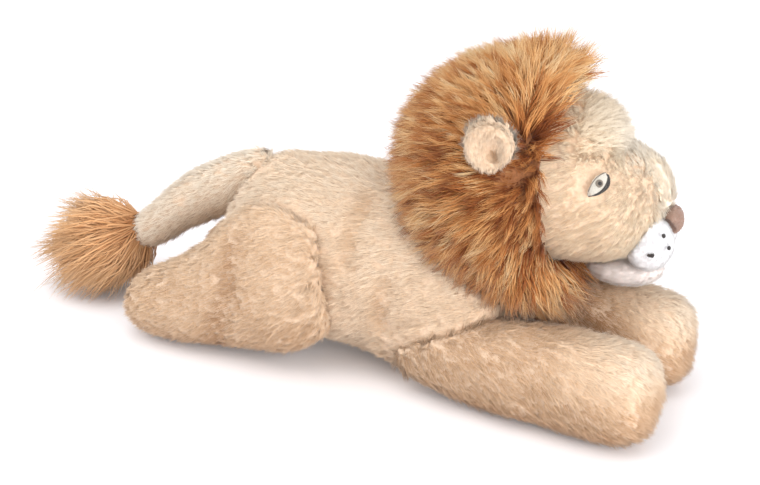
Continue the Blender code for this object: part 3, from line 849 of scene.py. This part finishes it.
def make_tail():
    """The tail arches a little, and the underside of its root runs into the rump."""
    cloth = cloth_form("tail_cloth", "tail_filling", COAT_CLOTH, "tail_skin", 0.0008, 0.0018)
    points = points_of(cloth.data)
    arch = fade(points[:, 0], -0.155, -0.125) * (1 - fade(points[:, 0], -0.092, -0.076))
    facing = normals_of(cloth.data)
    root = fade(points[:, 0], -0.097, -0.082) * np.clip(0.8 * facing[:, 0] - facing[:, 2], 0, 1)
    points = points + np.array((0.0060, 0, -0.0160)) * root[:, None]
    set_points(cloth.data, points + np.array(UP) * (0.0040 * arch)[:, None])
    keep_outside(cloth.data, "tail_filling")
    points = points_of(cloth.data)
    hidden = near_share(points, ("body_skin",), 0.0010)
    # Painted shade: the tail is darker where it faces down.
    tone = 0.84 - 0.24 * fade(-normals_of(cloth.data)[:, 2], 0, 0.8)
    dress(cloth, (-1.0, 0, -0.5), COAT_PILE * (1 - 0.5 * hidden), tone, 1 - 0.6 * hidden)
    pile = grow_pile("tail_pile", cloth, SHORT_LOCKS, COAT_DENSITY, COAT, SEED + 4)
    seat(cloth, [pile], "tail", ["tail_skin"])


def make_tuft():
    """The core of the tuft is drawn in to its own axis, and strands fan out of it."""
    low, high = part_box("tail_tuft")
    tail_low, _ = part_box("tail_skin")
    cloth = cloth_form("tuft_cloth", "tail_tuft", MANE_CLOTH, inset=0)
    mesh = cloth.data
    points = points_of(mesh)
    root = np.array((tail_low.x + 0.008, (low.y + high.y) / 2 + 0.001, tail_low.z + 0.012))
    tip = np.array((low.x, (low.y + high.y) / 2 - 0.001, low.z + 0.020))
    run = tip - root
    share = ((points - root) @ run) / (run @ run)
    axis = root + share[:, None] * run
    drawn = axis + (points - axis) * 0.50
    drawn = root + (drawn - root) * np.where(share > 0, 0.50, 1)[:, None]
    drawn[:, 2] = np.maximum(drawn[:, 2], 0.004)
    set_points(mesh, drawn)
    from_root = drawn - (root - unit(run) * 0.004)
    along = unit(run) * (from_root @ unit(run))[:, None]
    comb = unit(along * 0.8 + (from_root - along) * 2.9) * 1.8
    set_values(mesh, "comb", comb)
    set_values(mesh, "pile", np.full(len(drawn), TUFT_PILE))
    set_values(mesh, "tone", 0.55 + 0.2 * soft_noise(drawn, 0.008, 5))
    set_values(mesh, "cover", np.ones(len(drawn)))
    pile = grow_pile(
        "tuft_pile", cloth, LONG_LOCKS, TUFT_DENSITY, TUFT, SEED + 5, stand=0.35, mess=0.35,
        clump_size=0.009, clump_pull=1.1, tone_spread=0.30, softness=0.35,
    )
    seat(cloth, [pile], "tail", ["tail_tuft"])


# Head and mane

def head_frame(points):
    """Distances ahead of the neck's axis, to the head's left, and up."""
    from_neck = points - NECK
    return from_neck @ np.array(HEAD_AHEAD), from_neck @ np.array(HEAD_LEFT), points[:, 2]


def head_point(ahead, left, height):
    return Vector(NECK.tolist()) + HEAD_AHEAD * ahead + HEAD_LEFT * left + UP * height


def eye_frame(side_name, side):
    """The eye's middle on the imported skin, its outward direction, its length and its width."""
    low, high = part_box("eye_" + side_name)
    middle = (low + high) / 2
    out = (HEAD_AHEAD * 0.62 + HEAD_LEFT * side * 0.70 + UP * 0.36).normalized()
    hit, facing, _, _ = solid_tree("head_skin").ray_cast(middle + out * 0.02, -out, 0.04)
    out = facing.normalized()
    long_way = HEAD_AHEAD * 0.42 - HEAD_LEFT * side * 0.70 + UP * 0.56
    long_way = (long_way - out * long_way.dot(out)).normalized()
    wide_way = out.cross(long_way)
    if wide_way.dot(HEAD_AHEAD - UP * 0.6) < 0:
        wide_way = -wide_way
    return hit, out, long_way, wide_way


def make_head():
    cloth = cloth_form("head_cloth", "head_filling", COAT_CLOTH, "head_skin", voxel=0.0018)
    mesh = cloth.data
    folds = []
    for side in (1, -1):
        folds.append((
            [head_point(0.063, side * 0.036, 0.098), head_point(0.063, side * 0.035, 0.086),
             head_point(0.063, side * 0.030, 0.077)], 0.0022, 0.0040,
        ))
        folds.append((
            [head_point(0.074, side * 0.030, 0.092), head_point(0.076, side * 0.030, 0.088)], -0.0018, 0.010,
        ))
    folds.append(([head_point(0.062, 0.016, 0.126), head_point(0.062, -0.016, 0.126)], -0.0030, 0.0130))
    folds.append(([head_point(0.082, 0, 0.106), head_point(0.093, 0, 0.095)], -0.0038, 0.0130))
    folds.append(([head_point(0.075, 0.014, 0.1165), head_point(0.075, -0.014, 0.1165)], 0.0038, 0.0050))
    press_creases(mesh, folds)
    swell_near(mesh, ("lip_left", "lip_right", "nose", "chin"), 0.010, 0.0034)
    mesh = smoothed(cloth, 4).data
    keep_outside(mesh, "head_filling")
    points = points_of(mesh)
    ahead, left, height = head_frame(points)
    brow = fade(ahead, 0.044, 0.060) * (1 - fade(ahead, 0.076, 0.086)) * fade(height, 0.108, 0.124)
    near_eye = np.zeros(len(points), np.float32)
    for side_name, side in SIDES.items():
        middle, out, long_way, wide_way = eye_frame(side_name, side)
        off = points - np.array(middle)
        away = np.sqrt((off @ np.array(long_way) / 0.0075) ** 2 + (off @ np.array(wide_way) / 0.0062) ** 2)
        near_eye = np.maximum(near_eye, 1 - fade(away, 0.85, 1.5))
    pile_length = (FACE_PILE + (BROW_PILE - FACE_PILE) * brow) * (1 - 0.65 * near_eye)
    middle_share = 1 - fade(np.abs(left), 0.006, 0.020)
    # Paler on the muzzle and the brow, paler down the middle as painted rim light, lighter towards the top as
    # painted light, and darker low down under the jaw as painted shade.
    pale = fade(ahead, 0.055, 0.085) * 0.20 + middle_share * fade(ahead, 0.06, 0.08) * 0.24 + brow * 0.16
    tone = 0.40 + pale + 0.08 * fade(height, 0.08, 0.13) - 0.06 * fade(-height, -0.075, -0.062)
    comb = -np.array(HEAD_AHEAD) * (1 - 1.3 * brow[:, None])
    comb = comb + np.array((0, 0, -0.35)) * (1 - brow[:, None])
    cover = fade(ahead, 0.010, 0.024) * (1 - 0.6 * near_eye)
    cover *= 1 - 0.9 * near_share(points, ("lip_left", "lip_right", "nose", "chin"), 0.0)
    dress(cloth, comb, pile_length, tone, cover)
    piles = [
        grow_pile(
            "head_pile", cloth, SHORT_LOCKS, FACE_DENSITY, FACE, SEED + 6, 1 - brow, clump_pull=0.4,
        ),
        grow_pile(
            "brow_pile", cloth, LONG_LOCKS, BROW_DENSITY, FACE, SEED + 16, brow, stand=1.2, clump_pull=0.35,
            softness=0.96,
        ),
    ]
    seat(cloth, piles, "head", ["head_skin"])


def make_mane():
    """The hood's cloth is drawn from its packed outside towards the head, most of all at its side rims."""
    cloth = cloth_form("mane_cloth", "mane", MANE_CLOTH, inset=0)
    mesh = cloth.data
    points = points_of(mesh)
    head_tree = solid_tree("head_skin")
    near = np.array([tuple(head_tree.find_nearest(Vector(p))[0]) for p in points.tolist()], np.float32)
    gap = np.linalg.norm(points - near, axis=1)
    outer = fade(gap, 0.0008, 0.0030)
    ahead, left, height = head_frame(points)
    side_rim = fade(ahead, 0.026, 0.040) * (1 - fade(height, 0.118, 0.132)) * fade(height, 0.062, 0.082)
    set_points(mesh, points + (near - points) * ((0.45 + 0.30 * side_rim) * fade(gap, 0.002, 0.006))[:, None])
    points = points_of(mesh)
    ahead, left, height = head_frame(points)
    off = np.stack((ahead - 0.049, height - 0.112), axis=1)
    away = np.linalg.norm(off, axis=1)
    radial = off / np.maximum(away, 1e-6)[:, None]
    ring = fade(away, 0.004, 0.026) * 1.5
    comb = np.array(HEAD_AHEAD) * (radial[:, 0] * ring)[:, None]
    comb = comb + np.array(UP) * (radial[:, 1] * ring)[:, None]
    comb = comb + np.array(UP) * (-0.20 * (1 - fade(height, 0.125, 0.150)))[:, None]
    top_rim = fade(ahead, 0.026, 0.044) * fade(height, 0.118, 0.132)
    low_rim = fade(ahead, 0.020, 0.044) * (1 - fade(height, 0.062, 0.082))
    comb = comb + np.array(HEAD_AHEAD) * (1.75 * top_rim + 1.5 * low_rim)[:, None]
    comb = comb - np.array(UP) * (0.55 * top_rim)[:, None]
    # Painted light and shade: lighter towards the top, where the light falls, a little lighter towards the
    # outer edge, and darker round the middle beside the face, partly the darker roots and partly painted
    # shade.
    tone = 0.44 + 0.24 * fade(height, 0.118, 0.150) + 0.06 * fade(away, 0.03, 0.06)
    tone = tone - 0.12 * (1 - fade(away, 0.012, 0.032)) + 0.02 * low_rim
    set_values(mesh, "comb", comb)
    reach = (0.70 + 0.30 * fade(away, 0.010, 0.040)) * (1 + 0.85 * top_rim + 0.65 * low_rim)
    reach = reach * (1 - 0.22 * fade(height, 0.122, 0.145) * (1 - top_rim))
    set_values(mesh, "pile", MANE_PILE * reach)
    set_values(mesh, "tone", tone)
    set_values(mesh, "cover", outer)
    left_part = fade(left, -0.004, 0.004)
    back_part = 1 - fade(ahead, 0.008, 0.014)
    parts = {
        "left": left_part * (1 - back_part), "right": (1 - left_part) * (1 - back_part),
        "back_left": left_part * back_part, "back_right": (1 - left_part) * back_part,
    }
    piles = [
        grow_pile(
            "mane_pile_" + part_name, cloth, LONG_LOCKS, MANE_DENSITY, MANE, SEED + 7 + number, part,
            stand=0.62, mess=0.45, clump_size=0.008, clump_pull=2.6, tone_spread=0.62,
            patch_size=0.006, patch_spread=1.9, softness=0.36,
        ) for number, (part_name, part) in enumerate(parts.items())
    ]
    seat(cloth, piles, "head", ["mane"])


def make_ears():
    for side_name, side in SIDES.items():
        name = "ear_" + side_name
        cloth = cloth_form(name + "_cloth", name, COAT_CLOTH, inset=0.0018, voxel=PAD_VOXEL)
        outward = np.array(HEAD_LEFT) * side
        dress(cloth, np.array((0, 0, 0.5)) + outward * 0.5, EAR_PILE, 0.62)
        pile = grow_pile(name + "_pile", cloth, SHORT_LOCKS, EAR_DENSITY, COAT, SEED + 8, clump_pull=0.7)
        seat(cloth, [pile], name, [name])
        node = "ear_lining_" + side_name
        lining = cloth_form("ear_lining_cloth_" + side_name, node, COAT_CLOTH, inset=-0.0012, voxel=0.0007)
        low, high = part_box(node)
        middle = (low + high) / 2
        fold = [middle + HEAD_AHEAD * 0.001 - UP * 0.003, middle + HEAD_AHEAD * 0.004 - UP * 0.0055]
        # Painted shade: the lining is darker in its pressed fold.
        shade = press_creases(lining.data, [(fold, 0.0024, 0.0022)])
        dress(lining, (0, 0, -1.0), EAR_PILE * 0.7, 0.50 - 0.45 * shade)
        fluff = grow_pile("ear_lining_pile_" + side_name, lining, SHORT_LOCKS, EAR_DENSITY, COAT, SEED + 9)
        seat(lining, [fluff], name, [node])


def shape_nose(mesh):
    """A rounded triangle, wide at the top, with a dent for each nostril."""
    low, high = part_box("nose")
    middle = np.array((low + high) / 2)
    points = points_of(mesh)
    left = (points - middle) @ np.array(HEAD_LEFT)
    height = (points - middle)[:, 2] / (high.z - low.z) * 2
    narrow = 0.18 + 0.82 * fade(height, -1.0, 0.6)
    points = points + np.array(HEAD_LEFT) * (left * (narrow - 1))[:, None]
    reach = (points - middle) @ np.array(HEAD_AHEAD)
    points = points - np.array(HEAD_AHEAD) * (reach * 0.15)[:, None]
    set_points(mesh, points)
    nostrils = []
    for way in (1, -1):
        spot = middle + np.array(HEAD_AHEAD * 0.005 + HEAD_LEFT * way * 0.0042 - UP * 0.0012)
        nostrils.append(([spot, spot - np.array(UP) * 0.0008], 0.0016, 0.0016))
    return press_creases(mesh, nostrils)


def make_pads():
    ahead = np.array(HEAD_AHEAD)
    down = np.array((0, 0, -1.0))
    upward = np.array((0, 0, 0.8)) - ahead * 0.6
    for node, slot, finish, backing, length, comb, density in (
        ("nose_bridge", "pale_plush", FACE, PALE_CLOTH, BRIDGE_PILE, upward, FACE_DENSITY),
        ("lip_left", "white_plush", WHITE, WHITE_CLOTH, PAD_PILE, down, PAD_DENSITY),
        ("lip_right", "white_plush", WHITE, WHITE_CLOTH, PAD_PILE, down, PAD_DENSITY),
        ("chin", "chin_plush", CHIN_PILE, CHIN_CLOTH, PAD_PILE * 1.6, -ahead, PAD_DENSITY * 0.8),
        ("nose", "nose_fabric", NOSE_PILE, NOSE_CLOTH, PAD_PILE * 0.45, down, PAD_DENSITY * 2),
    ):
        cloth = cloth_form(node + "_cloth", node, backing, inset=0.0004, voxel=PAD_VOXEL)
        points = points_of(cloth.data)
        tone = 0.55
        if node == "nose":
            # Painted shade: the nose is darker in its nostril dents.
            tone = 0.55 - 0.5 * shape_nose(cloth.data)
        cover = 1.0
        if node.startswith("lip"):
            sink(cloth.data, "head_skin", 0.0010)
        if node == "nose_bridge":
            ahead_of_neck, left, _ = head_frame(points)
            edge = fade(np.abs(left), 0.002, 0.0125)
            sink(cloth.data, "head_skin", 0.0032 - 0.0054 * fade(ahead_of_neck, 0.074, 0.090) * (1 - edge))
            # Paler than the face, partly the gusset's own colour and partly painted rim light, and darker
            # towards its sunken edges as painted shade.
            tone = 0.84 - 0.10 * edge
            smoothed(cloth, 8)
            brow = fade(points[:, 2], 0.108, 0.116)
            points = points_of(cloth.data)
            set_points(cloth.data, points - np.array(HEAD_AHEAD + UP * 0.8) * (0.0030 * brow)[:, None])
            cover = 1 - 0.9 * brow
        dress(cloth, comb, length, tone, cover)
        pile = grow_pile(
            node + "_pile", cloth, SHORT_LOCKS, density, finish, SEED + 10, clump_size=0.004, clump_pull=0.25,
            softness=0.96,
        )
        seat(cloth, [pile], "head", [node])


def on_surface(tree, out, spot, lift):
    """The point on a surface under a spot, raised by a lift."""
    hit, _, _, _ = tree.ray_cast(spot + out * 0.015, -out, 0.04)
    return (hit or spot) + out * lift


def satin(tree, patch, outline, count, lift, dome):
    """Side-by-side stitches between the two edges of a patch, each edge as a function of the share."""
    middle, out, long_way, wide_way = patch
    lines = []
    for number in range(count):
        start, end = outline((number + 0.5) / count)
        line = []
        for step in range(6):
            share = step / 5
            along = start[0] + (end[0] - start[0]) * share
            across = start[1] + (end[1] - start[1]) * share
            spot = middle + long_way * along + wide_way * across
            line.append(on_surface(tree, out, spot, lift + dome * math.sin(share * math.pi)))
        lines.append(line)
    return lines


def disc_outline(radius, along=0.0, across=0.0):
    def outline(share):
        place = share * 2 - 1
        half = radius * math.sqrt(max(0.0, 1 - place * place))
        return (place * radius + along, across - half), (place * radius + along, across + half)
    return outline


EYE_HALF_LENGTH = 0.0062
EYE_HALF_WIDTH = 0.0027


def eye_edge(share):
    place = share * 2 - 1
    return place * EYE_HALF_LENGTH, EYE_HALF_WIDTH * max(0.0, 1 - place * place) ** 0.75


def eye_ground(share):
    along, across = eye_edge(share)
    return (along, -across), (along, across)


def eye_line(way, thick):
    """The line along one edge of the eye, thickest at its middle."""
    def outline(share):
        along, across = eye_edge(0.01 + 0.98 * share)
        inner = across - 0.0003
        outer = inner + thick * math.sin(math.pi * (0.08 + share * 0.84) ** 2.2) ** 0.6
        return (along, way * inner), (along * 1.05, way * outer)
    return outline


def make_eyes():
    """An almond of satin stitch: pale ground, grey-brown iris, dark pupil, and a dark line round it."""
    for side_name, side in SIDES.items():
        patch = eye_frame(side_name, side)
        node = "eye_" + side_name
        tree = solid_tree("head_skin", node)
        cloth = cloth_form(node + "_cloth", node, PALE_CLOTH, inset=0.0003, voxel=0.0006, rounds=2)
        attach(cloth, "head")
        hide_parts(node)
        for label, outline, count, lift, dome, finish in (
            ("ground", eye_ground, 44, 0.0002, 0.0003, PALE_THREAD),
            ("iris", disc_outline(0.0016, 0.0003, -0.0002), 12, 0.0006, 0.0003, GREY_THREAD),
            ("pupil", disc_outline(0.0008, 0.0004, -0.0001), 6, 0.0010, 0.0002, DARK_THREAD),
            ("front_line", eye_line(1, 0.0024), 52, 0.0004, 0.0003, DARK_THREAD),
            ("back_line", eye_line(-1, 0.0003), 52, 0.0003, 0.0001, GREY_THREAD),
        ):
            lines = satin(tree, patch, outline, count, lift, dome)
            stitch(f"{node}_{label}", lines, 0.00016, finish, "head")


def make_spots():
    """Each whisker spot is a few satin stitches over its packed button."""
    for node in [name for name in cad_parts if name.startswith("whisker_spot")]:
        low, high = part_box(node)
        side_name = "left" if "left" in node else "right"
        tree = solid_tree(node, "lip_" + side_name)
        out = (HEAD_AHEAD * 0.75 + HEAD_LEFT * SIDES[side_name] * 0.60 + UP * 0.15).normalized()
        long_way = (UP - out * UP.dot(out)).normalized()
        patch = ((low + high) / 2, out, long_way, out.cross(long_way))
        lines = satin(tree, patch, disc_outline(0.0009), 6, 0.0003, 0.0004)
        spot = stitch(node + "_stitches", lines, 0.00018, DARK_THREAD, "head")
        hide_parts(node)


def finish_fillings():
    for node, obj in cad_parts.items():
        if "filling" in node:
            obj.data.materials.clear()
            obj.data.materials.append(FIBRE)


# Studio

def shader_math(tree, operation, first, second):
    """A sum on a socket and either a second socket or a number."""
    node = tree.nodes.new("ShaderNodeMath")
    node.operation = operation
    tree.links.new(first, node.inputs[0])
    if isinstance(second, bpy.types.NodeSocket):
        tree.links.new(second, node.inputs[1])
    else:
        node.inputs[1].default_value = second
    return node.outputs[0]


def make_floor():
    bpy.ops.mesh.primitive_plane_add(size=FLOOR_SIZE, location=(0, 0, 0))
    floor = bpy.context.object
    floor.name = "floor"
    material, tree, shader = new_material("studio_paper")
    shader.inputs["Base Color"].default_value = FLOOR_COLOUR
    shader.inputs["Roughness"].default_value = 0.9
    shader.inputs["Specular IOR Level"].default_value = 0.1
    paths = tree.nodes.new("ShaderNodeLightPath").outputs
    seen = shader_math(tree, "MAXIMUM", paths["Is Camera Ray"], paths["Is Glossy Ray"])
    either = shader_math(tree, "MAXIMUM", seen, paths["Is Transmission Ray"])
    glow = tree.nodes.new("ShaderNodeEmission")
    glow.inputs["Color"].default_value = (1, 1, 1, 1)
    tree.links.new(shader_math(tree, "MULTIPLY", either, FLOOR_GLOW), glow.inputs["Strength"])
    both = tree.nodes.new("ShaderNodeAddShader")
    tree.links.new(shader.outputs[0], both.inputs[0])
    tree.links.new(glow.outputs[0], both.inputs[1])
    tree.links.new(both.outputs[0], tree.nodes["Material Output"].inputs["Surface"])
    floor.data.materials.append(material)


def make_world():
    world = bpy.data.worlds.new("studio")
    bpy.context.scene.world = world
    world.use_nodes = True
    tree = world.node_tree
    light = tree.nodes["Background"]
    light.inputs["Color"].default_value = (0.97, 0.98, 1.0, 1)
    light.inputs["Strength"].default_value = WORLD_LIGHT
    white = tree.nodes.new("ShaderNodeBackground")
    white.inputs["Color"].default_value = (1, 1, 1, 1)
    white.inputs["Strength"].default_value = 1
    paths = tree.nodes.new("ShaderNodeLightPath")
    chosen = tree.nodes.new("ShaderNodeMixShader")
    tree.links.new(paths.outputs["Is Camera Ray"], chosen.inputs["Fac"])
    tree.links.new(light.outputs[0], chosen.inputs[1])
    tree.links.new(white.outputs[0], chosen.inputs[2])
    tree.links.new(chosen.outputs[0], tree.nodes["World Output"].inputs["Surface"])


def make_light(name, place, power, size):
    lamp = bpy.data.lights.new(name, "AREA")
    lamp.energy = power
    lamp.size = size
    obj = bpy.data.objects.new(name, lamp)
    obj.location = place
    obj.rotation_euler = Vector(place).to_track_quat("Z", "Y").to_euler()
    bpy.context.scene.collection.objects.link(obj)


def make_camera():
    lens = bpy.data.cameras.new("photo_view")
    lens.lens = VIEW_LENS
    lens.sensor_width = SENSOR_WIDTH
    camera = bpy.data.objects.new("photo_view", lens)
    back = Vector((
        math.sin(VIEW_AZIMUTH) * math.cos(VIEW_ELEVATION),
        -math.cos(VIEW_AZIMUTH) * math.cos(VIEW_ELEVATION),
        math.sin(VIEW_ELEVATION),
    ))
    camera.location = VIEW_TARGET + back * VIEW_DISTANCE
    camera.rotation_euler = back.to_track_quat("Z", "Y").to_euler()
    bpy.context.scene.collection.objects.link(camera)
    bpy.context.scene.camera = camera


def make_scene():
    make_camera()
    make_body()
    for side_name, side in SIDES.items():
        make_front_leg(side_name, side)
        make_hind_leg(side_name, side)
    make_tail()
    make_tuft()
    make_head()
    make_mane()
    make_ears()
    make_pads()
    make_eyes()
    make_spots()
    finish_fillings()
    make_floor()
    make_world()
    for lamp in LAMPS:
        make_light(*lamp)
    bpy.context.scene.view_settings.view_transform = "Standard"


make_scene()
